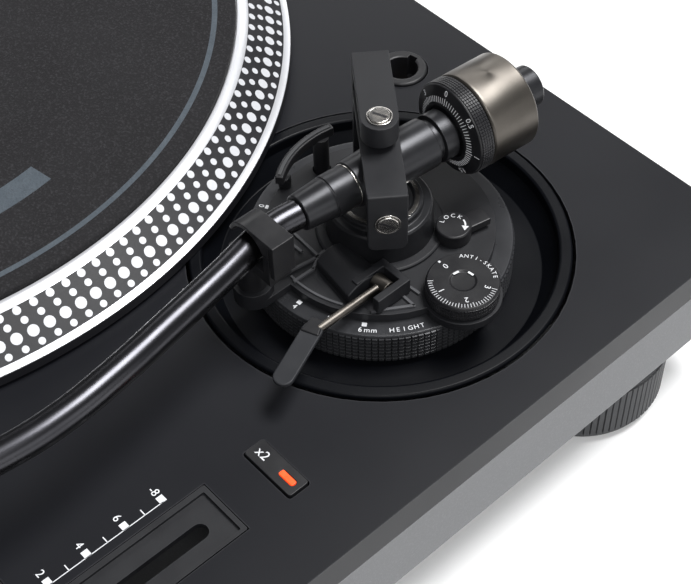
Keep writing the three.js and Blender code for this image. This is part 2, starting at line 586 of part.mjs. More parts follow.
function makeCueing() {
  const cheeks = [-4.7, 4.7].map((side) => block(CUE.x + side - 1.3, CUE.x + side + 1.3, CUE.y - 7, CUE.y + 4,
    PLATE_TOP_Z + SEAM, CUE.z + 2.6));
  const bridge = block(CUE.x - 6, CUE.x + 6, CUE.y + 3.6, CUE.y + 6, PLATE_TOP_Z + SEAM, CUE.z + 2.6);
  add('cue_housing', joined(bridge, ...cheeks), BLACK_PLASTIC, arm);
  const hub = disc(2.5, -2.9, 2.9, 0, 0, 14).rotate([0, 90, 0]);
  const rod = disc(1.5, 0, 26, 0, 0, 10).rotate([90, 0, 0]);
  const handle = stadium(25, 6.2, -0.9, 0.9).translate([12, 0, 0]);
  const paddle = handle.rotate([0, 0, -67]).translate([-2, -24.5, 0]);
  add('cue_lever', joined(hub, rod, paddle), BLACK_PLASTIC, arm).position.set(CUE.x, CUE.y, CUE.z);
  const barShape = new THREE.Shape();
  const [start, end] = [rad(166), rad(219)];
  barShape.absarc(0, 0, 32.6, start, end, false);
  barShape.absarc(0, 0, 29.8, end, start, true);
  const bar = slab(barShape, 22.4, 25.7, 10);
  const [postX, postY] = polar(LIFTER.r, LIFTER.angle);
  const post = disc(2.6, PLATE_LOW_Z - 0.2, 22.8, postX, postY, 12);
  add('cue_lift_bar', joined(bar, post), BLACK_PLASTIC, arm);
}

makeChassis();
makeCase();
makeFeet();
makeDrive();
makeElectronics();
makeControls();
makeStrobe();
makeArmBase();
makeGimbal();
makeArm();
makeCounterweight();
makeHeadshell();
makeFittings();

export default player;
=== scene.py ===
import json
from math import atan2, cos, degrees, hypot, pi, radians, sin

import bmesh
import bpy
from mathutils import Matrix, Vector


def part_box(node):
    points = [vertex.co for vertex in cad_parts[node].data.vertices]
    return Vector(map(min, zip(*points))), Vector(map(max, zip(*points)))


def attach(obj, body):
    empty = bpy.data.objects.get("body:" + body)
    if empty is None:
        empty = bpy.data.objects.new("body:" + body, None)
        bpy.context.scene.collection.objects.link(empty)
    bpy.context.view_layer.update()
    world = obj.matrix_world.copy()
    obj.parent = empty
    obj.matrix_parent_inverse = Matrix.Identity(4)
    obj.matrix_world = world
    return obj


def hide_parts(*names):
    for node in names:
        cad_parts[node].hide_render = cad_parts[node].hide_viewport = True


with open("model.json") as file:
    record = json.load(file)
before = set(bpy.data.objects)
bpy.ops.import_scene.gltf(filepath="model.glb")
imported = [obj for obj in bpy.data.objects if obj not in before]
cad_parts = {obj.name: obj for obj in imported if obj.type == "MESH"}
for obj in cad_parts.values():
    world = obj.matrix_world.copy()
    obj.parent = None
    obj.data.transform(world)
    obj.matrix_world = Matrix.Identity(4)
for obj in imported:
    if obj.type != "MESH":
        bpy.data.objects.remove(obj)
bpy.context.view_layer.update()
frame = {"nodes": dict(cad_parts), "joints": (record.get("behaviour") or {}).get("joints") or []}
mm = 0.001
up = Vector((0, 0, 1))
joints = {joint["name"]: joint for joint in frame["joints"]}
print("frame loaded:", len(frame["nodes"]), "nodes")


# Places, all taken from the frame; pieces are shaped in millimetres and placed in metres
def boxMiddle(node):
    low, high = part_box(node)
    return (low + high) / 2


def topOf(node):
    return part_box(node)[1].z


def placed(origin, back=(0, 1, 0)):
    yAxis = Vector(back).normalized()
    xAxis = yAxis.cross(up)
    turn = Matrix((xAxis, yAxis, up)).transposed().to_4x4()
    return Matrix.Translation(origin) @ turn @ Matrix.Scale(mm, 4)


def standing(node, z):
    middle = boxMiddle(node)
    return placed((middle.x, middle.y, z))


deckZ = topOf("deck_chassis")
spindle = Vector((*boxMiddle("spindle").xy, deckZ))
pivot = Vector((*boxMiddle("height_ring").xy, deckZ))
armBack = Vector(joints["weight_turn"]["axis"])
headAhead = Vector(joints["locking_collar_turn"]["axis"])
sideAxis = -Vector(joints["tonearm_lift"]["axis"])
armHeight = joints["tonearm_lift"]["pos_m"][2]
deckPlace = placed(spindle)
basePlace = placed(pivot)
armPlace = placed((pivot.x, pivot.y, armHeight), armBack)
headPlace = placed(joints["locking_collar_turn"]["pos_m"], -headAhead)
gimbalPlace = placed(pivot, up.cross(sideAxis))


# Camera
camera = dict(aim=(0.0073, -0.0213, 0), azimuth=49.3, elevation=49.74, roll=-1.78, distance=0.4773,
              lens=80.7, nearest=0.01)


def makeCamera():
    turn, rise = radians(camera["azimuth"]), radians(camera["elevation"])
    away = Vector((sin(turn) * cos(rise), -cos(turn) * cos(rise), sin(rise)))
    data = bpy.data.cameras.new("camera")
    data.lens = camera["lens"]
    data.clip_start = camera["nearest"]
    eye = bpy.data.objects.new("camera", data)
    bpy.context.scene.collection.objects.link(eye)
    look = (-away).to_track_quat("-Z", "Y").to_matrix().to_4x4()
    roll = Matrix.Rotation(radians(camera["roll"]), 4, "Z")
    aim = pivot + Vector(camera["aim"])
    eye.matrix_world = Matrix.Translation(aim + away * camera["distance"]) @ look @ roll
    bpy.context.scene.camera = eye


makeCamera()
print("camera made")


# Materials: one builder, driven by a dictionary for each finish
def mixColour(nodes, links, factor, first, second):
    mix = nodes.new("ShaderNodeMix")
    mix.data_type = "RGBA"
    links.new(factor, mix.inputs[0])
    for socket, colour in ((mix.inputs[6], first), (mix.inputs[7], second)):
        if isinstance(colour, bpy.types.NodeSocket):
            links.new(colour, socket)
        else:
            socket.default_value = (*colour, 1)
    return mix.outputs[2]


def noiseOf(nodes, links, vector, scale, detail=3.0, rough=0.55):
    noise = nodes.new("ShaderNodeTexNoise")
    noise.inputs["Scale"].default_value = scale
    noise.inputs["Detail"].default_value = detail
    noise.inputs["Roughness"].default_value = rough
    links.new(vector, noise.inputs["Vector"])
    return noise.outputs["Fac"]


def ranged(nodes, links, value, low, high, fromLow=0.3, fromHigh=0.7):
    span = nodes.new("ShaderNodeMapRange")
    span.inputs["From Min"].default_value = fromLow
    span.inputs["From Max"].default_value = fromHigh
    span.inputs["To Min"].default_value = low
    span.inputs["To Max"].default_value = high
    links.new(value, span.inputs["Value"])
    return span.outputs["Result"]


def makeFinish(name, look):
    material = bpy.data.materials.new(name)
    material.use_nodes = True
    nodes, links = material.node_tree.nodes, material.node_tree.links
    shader = nodes["Principled BSDF"]
    coords = nodes.new("ShaderNodeTexCoord")
    mapping = nodes.new("ShaderNodeMapping")
    links.new(coords.outputs["Object"], mapping.inputs["Vector"])
    mapping.vector_type = "TEXTURE"
    mapping.inputs["Location"].default_value = look.get("centre", (0, 0, 0))
    mapping.inputs["Rotation"].default_value = (0, 0, look.get("turn", 0))
    place = mapping.outputs["Vector"]
    patches = noiseOf(nodes, links, place, look.get("patch", 40))
    grain = noiseOf(nodes, links, place, look.get("grain", 2500), 4, 0.6)
    colour = mixColour(nodes, links, ranged(nodes, links, patches, 0, 1), look["colour"], look["tint"])
    if "speck" in look:  # a light fleck, as in pressed felt or a fine casting
        fleck = ranged(nodes, links, grain, 0, look.get("speckShare", 0.6), 0.5, 0.75)
        colour = mixColour(nodes, links, fleck, colour, look["speck"])
    height = grain
    if "lines" in look:  # marks of the lathe or brush: rings about the centre, or along one axis
        if look["lines"] == "rings":
            flat = nodes.new("ShaderNodeVectorMath")
            flat.operation = "MULTIPLY"
            flat.inputs[1].default_value = (1, 1, 0)
            links.new(place, flat.inputs[0])
            far = nodes.new("ShaderNodeVectorMath")
            far.operation = "LENGTH"
            links.new(flat.outputs[0], far.inputs[0])
            along = far.outputs["Value"]
        else:
            split = nodes.new("ShaderNodeSeparateXYZ")
            links.new(place, split.inputs[0])
            along = split.outputs["XYZ".index(look["lines"])]
        cut = nodes.new("ShaderNodeTexNoise")
        cut.noise_dimensions = "1D"
        cut.inputs["Scale"].default_value = look.get("lineScale", 4000)
        cut.inputs["Detail"].default_value = 2
        links.new(along, cut.inputs["W"])
        height = cut.outputs["Fac"]
        shade = ranged(nodes, links, height, 0, look.get("lineShade", 0.35))
        colour = mixColour(nodes, links, shade, colour, look["tint"])
    if "edge" in look:  # paint rubbed thin along edges
        soft = nodes.new("ShaderNodeBevel")
        soft.samples = 4
        soft.inputs["Radius"].default_value = look.get("edgeWidth", 0.0006)
        shape = nodes.new("ShaderNodeNewGeometry")
        bend = nodes.new("ShaderNodeVectorMath")
        bend.operation = "DOT_PRODUCT"
        links.new(soft.outputs[0], bend.inputs[0])
        links.new(shape.outputs["Normal"], bend.inputs[1])
        rub = ranged(nodes, links, bend.outputs["Value"], look.get("edgeShare", 0.5), 0, 0.8, 0.985)
        colour = mixColour(nodes, links, rub, colour, look["edge"])
    links.new(colour, shader.inputs["Base Color"])
    low, high = look["rough"]
    links.new(ranged(nodes, links, patches, low, high), shader.inputs["Roughness"])
    bump = nodes.new("ShaderNodeBump")
    bump.inputs["Strength"].default_value = look.get("bump", 0.3)
    bump.inputs["Distance"].default_value = look.get("depth", 0.00004)
    links.new(height, bump.inputs["Height"])
    links.new(bump.outputs["Normal"], shader.inputs["Normal"])
    shader.inputs["Metallic"].default_value = look.get("metal", 0)
    sockets = dict(coat="Coat Weight", sheen="Sheen Weight", specular="Specular IOR Level",
                   glow="Emission Strength", stretch="Anisotropic")
    for key, socket in sockets.items():
        if key in look:
            shader.inputs[socket].default_value = look[key]
    if "glow" in look:
        shader.inputs["Emission Color"].default_value = (*look["light"], 1)
    return material


armTurn = atan2(-armBack.x, armBack.y)
finishes = dict(
    deckPaint=dict(colour=(0.0058, 0.0062, 0.0085), tint=(0.0075, 0.008, 0.0105), patch=14, grain=2600,
                   rough=(0.38, 0.45), specular=0.22, bump=0.25, depth=0.00003, edge=(0.05, 0.05, 0.055),
                   edgeWidth=0.0007, edgeShare=0.7),
    # a darker copy of the deck paint for the recessed well: painted shade
    wellPaintedShade=dict(colour=(0.002, 0.0024, 0.0036), tint=(0.003, 0.0034, 0.0048), patch=30,
                   rough=(0.34, 0.45), bump=0.2, specular=0.12, edge=(0.022, 0.022, 0.025)),
    caseGrey=dict(colour=(0.13, 0.133, 0.139), tint=(0.155, 0.158, 0.164), patch=60, grain=1500,
                  rough=(0.55, 0.66), bump=0.5, depth=0.00008, speck=(0.3, 0.3, 0.31), speckShare=0.25,
                  edge=(0.4, 0.4, 0.42), edgeShare=0.5),
    blackMetal=dict(colour=(0.0125, 0.013, 0.015), tint=(0.017, 0.0175, 0.02), patch=90, grain=3500,
                    rough=(0.3, 0.4), metal=0.35, bump=0.2, edge=(0.1, 0.1, 0.11), edgeWidth=0.0004,
                    edgeShare=0.7),
    satin=dict(colour=(0.02, 0.0205, 0.023), tint=(0.028, 0.0285, 0.032), patch=90, rough=(0.3, 0.38),
               metal=0.6, turn=armTurn, lines="Y", lineScale=5200, lineShade=0.3, bump=0.08,
               depth=0.00002),
    castBlack=dict(colour=(0.0085, 0.0088, 0.0108), tint=(0.0115, 0.012, 0.0142), patch=120, grain=2800,
                   rough=(0.46, 0.56), bump=0.45, depth=0.00005, specular=0.33, edge=(0.03, 0.03, 0.034),
                   edgeWidth=0.0005),
    # a lighter copy of black metal for the height ring's knurl: painted highlight where the lamps leave the
    # side dark
    knurlPaintedHighlight=dict(colour=(0.028, 0.029, 0.032), tint=(0.036, 0.037, 0.041), patch=90, grain=3500,
                    rough=(0.26, 0.34), metal=0.3, bump=0.15),
    # a lighter copy of cast black for the raised plate walls: painted highlight along the ridges
    ridgePaintedHighlight=dict(colour=(0.05, 0.051, 0.056), tint=(0.065, 0.066, 0.072), patch=120, grain=2800,
                   rough=(0.46, 0.56), bump=0.3),
    blackPlastic=dict(colour=(0.008, 0.008, 0.0095), tint=(0.011, 0.011, 0.0125), patch=150, grain=3000,
                      rough=(0.36, 0.46), bump=0.3, specular=0.4, edge=(0.045, 0.045, 0.05),
                      edgeWidth=0.0003),
    paddleGrey=dict(colour=(0.019, 0.02, 0.023), tint=(0.024, 0.025, 0.028), patch=120, grain=3200,
                    specular=0.25, rough=(0.42, 0.52), bump=0.3, edge=(0.1, 0.1, 0.11), edgeWidth=0.0003),
    darkChrome=dict(colour=(0.062, 0.062, 0.068), tint=(0.05, 0.05, 0.056), patch=60, grain=4000,
                    rough=(0.25, 0.3), metal=1, bump=0.05),
    gunMetal=dict(colour=(0.15, 0.137, 0.122), tint=(0.105, 0.096, 0.086), patch=70, rough=(0.38, 0.45),
                  metal=1, turn=armTurn, lines="Y", lineScale=5200, lineShade=0.25, bump=0.12,
                  depth=0.00002, stretch=0.5),
    steel=dict(colour=(0.72, 0.7, 0.67), tint=(0.58, 0.55, 0.51), patch=300, grain=4000,
               rough=(0.16, 0.27), metal=1, bump=0.1),
    polished=dict(colour=(0.72, 0.725, 0.75), tint=(0.62, 0.63, 0.66), patch=50, rough=(0.3, 0.4),
                  metal=0.55, centre=spindle, lines="rings", lineScale=5200, lineShade=0.3, bump=0.2,
                  depth=0.00002),
    dotSilver=dict(colour=(0.66, 0.67, 0.7), tint=(0.58, 0.59, 0.62), patch=300, grain=4000,
                   rough=(0.4, 0.5), metal=0.25, bump=0.15),
    castAluminium=dict(colour=(0.5, 0.51, 0.52), tint=(0.4, 0.41, 0.42), patch=40, grain=900,
                       rough=(0.4, 0.55), metal=1, bump=0.5, depth=0.0001),
    rimBlack=dict(colour=(0.008, 0.008, 0.0105), tint=(0.0105, 0.0105, 0.0135), patch=60, grain=2200,
                  rough=(0.4, 0.5), bump=0.6, depth=0.00008, speck=(0.025, 0.025, 0.03), speckShare=0.3),
    felt=dict(colour=(0.0125, 0.012, 0.0132), tint=(0.0165, 0.016, 0.0175), patch=35, grain=1300,
              rough=(0.86, 0.95), bump=1, depth=0.0003, speck=(0.058, 0.057, 0.062), speckShare=0.5,
              sheen=0.06, specular=0.15),
    feltPrint=dict(colour=(0.062, 0.078, 0.094), tint=(0.052, 0.066, 0.081), patch=200, grain=1300,
                   rough=(0.75, 0.9), bump=1, depth=0.0003, speck=(0.03, 0.036, 0.043), speckShare=0.5),
    rubber=dict(colour=(0.03, 0.0315, 0.034), tint=(0.039, 0.0405, 0.0435), patch=60, grain=1800,
                rough=(0.6, 0.75), bump=0.4, edge=(0.1, 0.1, 0.105), edgeWidth=0.0005),
    print=dict(colour=(0.75, 0.76, 0.78), tint=(0.62, 0.63, 0.66), patch=500, grain=5000,
               rough=(0.45, 0.6), bump=0.2),
    brass=dict(colour=(0.75, 0.55, 0.25), tint=(0.6, 0.42, 0.18), patch=200, rough=(0.22, 0.34), metal=1,
               bump=0.15),
    copper=dict(colour=(0.5, 0.22, 0.1), tint=(0.34, 0.14, 0.06), patch=300, grain=1500, rough=(0.3, 0.45),
                metal=1, bump=1, depth=0.0003),
    boardGreen=dict(colour=(0.012, 0.09, 0.045), tint=(0.02, 0.13, 0.06), patch=250, grain=1500,
                    rough=(0.35, 0.5), bump=0.3, coat=0.3),
    magnetGrey=dict(colour=(0.06, 0.06, 0.062), tint=(0.085, 0.085, 0.088), patch=200, grain=1500,
                    rough=(0.6, 0.75), metal=0.2, bump=0.6),
    redLens=dict(colour=(0.45, 0.02, 0.012), tint=(0.35, 0.015, 0.01), patch=250, grain=2500,
                 rough=(0.08, 0.16), bump=0.1, coat=0.6, glow=0.5, light=(1, 0.08, 0.03)),
    orangeLamp=dict(colour=(0.85, 0.07, 0.015), tint=(0.9, 0.1, 0.02), patch=500, grain=3000,
                    rough=(0.3, 0.4), bump=0.1, glow=0.9, light=(1, 0.06, 0.008)),
)
surfaces = {name: makeFinish(name, look) for name, look in finishes.items()}
print("materials made:", len(surfaces))


# Shaping helpers, in millimetres
joinWithin = 1e-4


def softenEdges(shape, width, steps=2, limit=30):
    sharp = [e for e in shape.edges if e.is_manifold and e.calc_face_angle(0) > radians(limit)]
    if width and sharp:
        bmesh.ops.bevel(shape, geom=sharp, offset=width, segments=steps, profile=0.5, affect="EDGES",
                        material=-1, clamp_overlap=True)


def spun(profile, sides):
    shape = bmesh.new()
    points = [shape.verts.new((r, 0, z)) for r, z in profile]
    chain = [shape.edges.new(pair) for pair in zip(points, points[1:])]
    bmesh.ops.spin(shape, geom=points + chain, cent=(0, 0, 0), axis=(0, 0, 1), angle=2 * pi, steps=sides,
                   use_merge=True)
    bmesh.ops.remove_doubles(shape, verts=shape.verts, dist=joinWithin)
    bmesh.ops.recalc_face_normals(shape, faces=shape.faces)
    return shape


def turned(profile, sides=96, soft=0.25, steps=2):
    shape = spun(profile, sides)
    softenEdges(shape, soft, steps, 22)
    return shape


def rod(radius, low, high, sides, soft, steps=2):
    return turned([(0, low), (radius, low), (radius, high), (0, high)], sides, soft, steps)


def hoop(inner, outer, low, high, sides, soft=0.0, steps=2):
    section = [(inner, low), (outer, low), (outer, high), (inner, high), (inner, low)]
    return turned(section, sides, soft, steps)


def knurled(radius, low, high, columns, rows, inset=0.3, lift=0.35):
    shape = spun([(radius, low + (high - low) * i / rows) for i in range(rows + 1)], columns)
    outward = sum(f.normal.dot(f.calc_center_median()) for f in shape.faces) > 0
    if not outward:
        bmesh.ops.reverse_faces(shape, faces=shape.faces)
    bmesh.ops.inset_individual(shape, faces=shape.faces[:], thickness=inset, depth=lift)
    return shape


def boxed(x0, x1, y0, y1, z0, z1, soft=0.3):
    shape = bmesh.new()
    bmesh.ops.create_cube(shape, size=1)
    bmesh.ops.scale(shape, vec=(x1 - x0, y1 - y0, z1 - z0), verts=shape.verts)
    bmesh.ops.translate(shape, vec=((x0 + x1) / 2, (y0 + y1) / 2, (z0 + z1) / 2), verts=shape.verts)
    softenEdges(shape, soft)
    return shape


def thicken(shape, faces, height):
    raised = bmesh.ops.extrude_face_region(shape, geom=faces)["geom"]
    corners = [part for part in raised if isinstance(part, bmesh.types.BMVert)]
    bmesh.ops.translate(shape, vec=(0, 0, height), verts=corners)
    return corners


def sheeted(outline, low, high, soft=0.3, steps=2):
    shape = bmesh.new()
    face = shape.faces.new([shape.verts.new((x, y, low)) for x, y in outline])
    thicken(shape, [face], high - low)
    bmesh.ops.recalc_face_normals(shape, faces=shape.faces)
    softenEdges(shape, soft, steps)
    return shape


def arc(radius, start, end, steps=24, x=0, y=0):
    turns = [radians(start + (end - start) * i / steps) for i in range(steps + 1)]
    return [(x + radius * cos(a), y + radius * sin(a)) for a in turns]


def roundedBox(x0, x1, y0, y1, corner, steps=6):
    return (arc(corner, 180, 270, steps, x0 + corner, y0 + corner)
            + arc(corner, 270, 360, steps, x1 - corner, y0 + corner)
            + arc(corner, 0, 90, steps, x1 - corner, y1 - corner)
            + arc(corner, 90, 180, steps, x0 + corner, y1 - corner))


def moved(shape, matrix):
    bmesh.ops.transform(shape, matrix=matrix, verts=shape.verts)
    return shape


def shift(x, y, z):
    return Matrix.Translation((x, y, z))


def spinBy(angle, axis="Z"):
    return Matrix.Rotation(radians(angle), 4, axis)


def together(*shapes):
    whole = shapes[0]
    for other in shapes[1:]:
        spare = bpy.data.meshes.new("spare")
        other.to_mesh(spare)
        other.free()
        whole.from_mesh(spare)
        bpy.data.meshes.remove(spare)
    return whole


def makePiece(shape, name, body, surface, place=deckPlace, stands=(), smooth=32):
    bmesh.ops.transform(shape, matrix=place, verts=shape.verts)
    mesh = bpy.data.meshes.new(name)
    shape.to_mesh(mesh)
    shape.free()
    mesh.materials.append(surfaces[surface])
    mesh.polygons.foreach_set("use_smooth", [True] * len(mesh.polygons))
    mesh.set_sharp_from_angle(angle=radians(smooth))
    piece = bpy.data.objects.new(name, mesh)
    bpy.context.scene.collection.objects.link(piece)
    even = piece.modifiers.new("evenShade", "WEIGHTED_NORMAL")  # keeps broad flats flat by soft edges
    even.keep_sharp = True
    if stands:
        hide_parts(*stands)
    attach(piece, body)
    return piece


def refined(node, body, surface, width=0.3, steps=2, limit=30):
    shape = bmesh.new()
    shape.from_mesh(frame["nodes"][node].data)
    bmesh.ops.scale(shape, vec=(1 / mm,) * 3, verts=shape.verts)
    bmesh.ops.remove_doubles(shape, verts=shape.verts, dist=1e-3)
    bmesh.ops.dissolve_limit(shape, angle_limit=radians(1), verts=shape.verts, edges=shape.edges)
    softenEdges(shape, width, steps, limit)
    return makePiece(shape, node + "_fine", body, surface, Matrix.Scale(mm, 4), (node,))


def curveShape(curve, join):
    holder = bpy.data.objects.new("holder", curve)
    bpy.context.scene.collection.objects.link(holder)
    bpy.context.view_layer.update()
    mesh = bpy.data.meshes.new_from_object(holder.evaluated_get(bpy.context.evaluated_depsgraph_get()))
    shape = bmesh.new()
    shape.from_mesh(mesh)
    bmesh.ops.remove_doubles(shape, verts=shape.verts, dist=join)
    bpy.data.objects.remove(holder)
    bpy.data.curves.remove(curve)
    bpy.data.meshes.remove(mesh)
    return shape


# Printing: thin raised ink, kept just above its surface
inkHeight = 0.06


def lettered(words, size, place):
    curve = bpy.data.curves.new("words", "FONT")
    curve.body = words
    curve.size = size
    curve.align_x = "CENTER"
    curve.align_y = "CENTER"
    curve.extrude = inkHeight / 2
    curve.resolution_u = 3
    return moved(curveShape(curve, joinWithin), place)


def bar(x0, x1, y0, y1, z):
    return boxed(x0, x1, y0, y1, z - inkHeight / 2, z + inkHeight / 2, 0)


def radialMark(radius, length, width, angle, z):
    return moved(bar(radius, radius + length, -width / 2, width / 2, z), spinBy(angle))


def aroundText(words, size, radius, angle, z, spread, outward=False):
    shapes = []
    for i, letter in enumerate(words):
        if letter == " ":
            continue
        step = (i - (len(words) - 1) / 2) * spread
        a = angle + step * (-1 if outward else 1)
        face = -90 if outward else 90
        shapes.append(lettered(letter, size, spinBy(a) @ shift(radius, 0, z) @ spinBy(face)))
    return together(*shapes)


# Plinth
def makePlinth():
    refined("deck_chassis", "chassis", "deckPaint", 0.45, 3)
    refined("bottom_case", "chassis", "caseGrey", 0.8, 3)
    refined("terminal_plate", "chassis", "blackMetal", 0.3)
    refined("mains_inlet", "chassis", "blackPlastic", 0.3)
    pins = [boxed(x - 1, x + 1, -16, -8, -0.5, 0.5, 0.15) for x in (-4, 4)]
    middle = boxMiddle("mains_inlet")
    inletPlace = placed((middle.x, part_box("mains_inlet")[1].y, middle.z))
    makePiece(together(*pins), "inlet_pins", "chassis", "brass", inletPlace)


foot = dict(radius=29.2, height=30, stem=12, ribs=84, ribLow=4, ribHigh=24.5)


def makeFeet():
    for corner in ("front_left", "front_right", "back_left", "back_right"):
        node = "foot_" + corner
        r, low, high, top = foot["radius"], foot["ribLow"], foot["ribHigh"], foot["height"] - 0.4
        body = turned([(0, 0.05), (r - 2.5, 0.05), (r - 0.6, 2), (r - 0.3, low), (r - 0.3, high),
                       (r, high + 0.6), (r - 0.8, high + 1.6), (r - 4, high + 2.6),
                       (foot["stem"], high + 2.7), (foot["stem"], top), (0, top)], foot["ribs"], 0.4)
        ribs = knurled(r - 0.3, low, high, foot["ribs"], 1, 0.45, 0.75)
        makePiece(together(body, ribs), node + "_ribbed", node, "rubber", standing(node, 0),
                  (node,))


# Platter, its dotted rim and the mat
platter = dict(outer=166, ringOuter=163.6, ringInner=151.8, rim=149.4, topZ=15.3, lowZ=5.2, baseZ=1.6,
               bore=3.7, hub=14, seat=147.9, seatZ=13.9, coat=0.08, dotHeight=0.05, sides=288)
dotRows = (
    dict(radius=152.95, size=1.32, count=169, start=-4.62),
    dict(radius=155.8, size=1.18, count=174, start=-4.42),
    dict(radius=159.0, size=1.85, count=180, start=-6.2),
    dict(radius=162.2, size=1.15, count=186, start=-5.93),
)
mat = dict(radius=147.5, hole=4, low=14, top=17, rings=(140.2, 52), ringWidth=1.9, arcOuter=118.5,
           arcInner=109.5, arcFrom=-34, arcTo=9.5, inkLow=-0.3, inkTop=0.05, sides=240)


def rimHeight(r):
    share = (platter["ringOuter"] - r) / (platter["ringOuter"] - platter["ringInner"])
    low, high = platter["lowZ"] + 0.7, platter["topZ"] - 0.9
    return low + (high - low) * share


def makePlatter():
    p = platter
    inner, outer = p["ringInner"], p["ringOuter"]
    innerZ, outerZ = rimHeight(inner), rimHeight(outer)
    body = turned([(p["bore"], p["baseZ"]), (p["hub"], p["baseZ"]), (p["hub"], 9.5), (146, 9.5),
                   (150, p["baseZ"]), (p["outer"], p["baseZ"]), (p["outer"], p["lowZ"]), (outer, outerZ),
                   (inner, innerZ), (p["rim"], p["topZ"]), (p["seat"], p["topZ"]), (p["seat"], p["seatZ"]),
                   (p["bore"], p["seatZ"]), (p["bore"], p["baseZ"])], p["sides"], 0.2)
    makePiece(body, "platter_body", "platter", "polished", deckPlace, ("platter",))
    coat = p["coat"]
    band = turned([(inner, innerZ + coat), (outer, outerZ + coat), (outer, outerZ - 1), (inner, innerZ - 1),
                   (inner, innerZ + coat)], p["sides"], 0)
    makePiece(band, "platter_rim_coat", "platter", "rimBlack", deckPlace)
    wall = hoop(p["outer"] - 0.4, p["outer"] + coat, p["baseZ"] - 0.15, p["lowZ"] - 0.25, p["sides"])
    makePiece(wall, "platter_side_coat", "platter", "rimBlack", deckPlace)
    lean = atan2(innerZ - outerZ, outer - inner)
    dots = bmesh.new()
    for row in dotRows:
        height = rimHeight(row["radius"]) + coat + p["dotHeight"]
        tilt = Matrix.Rotation(lean, 4, "Y")
        for i in range(row["count"]):
            spot = spinBy(row["start"] + 360 * i / row["count"]) @ shift(row["radius"], 0, height) @ tilt
            bmesh.ops.create_circle(dots, cap_ends=True, segments=16, radius=row["size"], matrix=spot)
    for face in dots.faces:
        if face.normal.z < 0:
            face.normal_flip()
    thicken(dots, dots.faces[:], p["dotHeight"])
    makePiece(dots, "strobe_dots", "platter", "dotSilver", deckPlace)
    pin = turned([(0, -29), (3.6, -29), (3.6, 26), (2.6, 29), (0, 29.8)], 48, 0.5, 3)
    makePiece(pin, "spindle_pin", "platter", "steel", deckPlace, ("spindle",))


def makeMat():
    m = mat
    top = m["top"] - 0.1
    body = hoop(m["hole"], m["radius"], m["low"], top, m["sides"], 0.6, 3)
    makePiece(body, "mat", "platter", "felt", deckPlace, ("platter_mat",))
    half, inkLow, inkTop = m["ringWidth"] / 2, top + m["inkLow"], top + m["inkTop"]
    prints = [hoop(r - half, r + half, inkLow, inkTop, m["sides"]) for r in m["rings"]]
    for turn in (0, 180):  # a plain pair of broad arcs, one each side of the middle
        start, end = turn + m["arcFrom"], turn + m["arcTo"]
        outline = arc(m["arcOuter"], start, end, 40) + arc(m["arcInner"], end, start, 40)
        prints.append(sheeted(outline, inkLow, inkTop, 0))
    makePiece(together(*prints), "mat_print", "platter", "feltPrint", deckPlace)


# Deck controls
fader = dict(scaleX=226.1, letterX=221.6, topY=-22.5, step=6.4, most=8, inkZ=0.03, knobHalf=(6.2, 11),
             gripsY=(-7.5, -5, -2.6, 2.6, 5, 7.5))


def makeFader():
    refined("pitch_scale_panel", "chassis", "castBlack", 0.15)
    f = fader
    x, z, most = f["scaleX"], f["inkZ"], f["most"]
    marks = [bar(x - 0.13, x + 0.13, f["topY"] - 2 * most * f["step"], f["topY"], z)]
    for i in range(2 * most + 1):
        y, percent = f["topY"] - i * f["step"], most - i
        if percent % 2:
            marks.append(bar(x - 2.2, x, y - 0.16, y + 0.16, z))
        else:
            marks.append(bar(x - 2.3, x + 0.1, y - 1.1, y + 1.1, z))
            sign = {most: "-", -most: "+"}.get(percent, "")
            marks.append(lettered(sign + str(abs(percent)), 3.6, shift(f["letterX"], y, z)))
    makePiece(together(*marks), "deck_scale", "chassis", "print", deckPlace)
    knobPlace = standing("pitch_slider", deckZ)
    halfX, halfY = f["knobHalf"]
    cap = sheeted(roundedBox(-halfX, halfX, -halfY, halfY, 1.5), -0.4, 8.6, 0.7, 3)
    grips = [boxed(-halfX + 0.8, halfX - 0.8, y - 0.5, y + 0.5, 8.3, 9, 0.25) for y in f["gripsY"]]
    stem = boxed(-1.6, 1.6, -4, 4, -8, 0, 0.2)
    makePiece(together(cap, stem, *grips), "pitch_knob", "pitch_slider", "blackPlastic", knobPlace,
              ("pitch_slider",))
    line = bar(-halfX + 0.6, halfX - 0.6, -0.35, 0.35, 8.65)
    makePiece(line, "pitch_knob_line", "pitch_slider", "print", knobPlace)


x2 = dict(textX=-5.9, size=4.3, lampLow=2.05, lampHigh=7.8, lampHalf=0.95)
buttonInk = 0.02


def makeButtons():
    for node in ("x2_button", "reset_button", "start_stop_button", "speed_33_button", "speed_45_button"):
        surface = "blackPlastic" if node in ("x2_button", "reset_button") else "blackMetal"
        refined(node, node, surface, 0.45 if node[0] == "s" else 0.3, 3)
    buttonPlace = standing("x2_button", topOf("x2_button"))
    words = lettered("x2", x2["size"], shift(x2["textX"], 0, buttonInk))
    makePiece(words, "x2_print", "x2_button", "print", buttonPlace)
    half = x2["lampHalf"]
    lamp = sheeted(roundedBox(x2["lampLow"], x2["lampHigh"], -half, half, 0.4), -1.4, 0.12, 0.12)
    makePiece(lamp, "x2_lamp_lens", "x2_button", "orangeLamp", buttonPlace, ("x2_lamp",))
    for speed in ("33", "45"):
        node = "speed_" + speed + "_button"
        makePiece(lettered(speed, 4.2, shift(0, 0, buttonInk)), node + "_print", node, "print",
                  standing(node, topOf(node)))
    arrow = sheeted([(-4.5, -2.6), (-0.5, 0), (-4.5, 2.6)], 0, inkHeight, 0)
    square = bar(1.4, 5.6, -2.1, 2.1, inkHeight / 2)
    makePiece(together(arrow, square), "start_stop_print", "start_stop_button", "print",
              standing("start_stop_button", topOf("start_stop_button")))


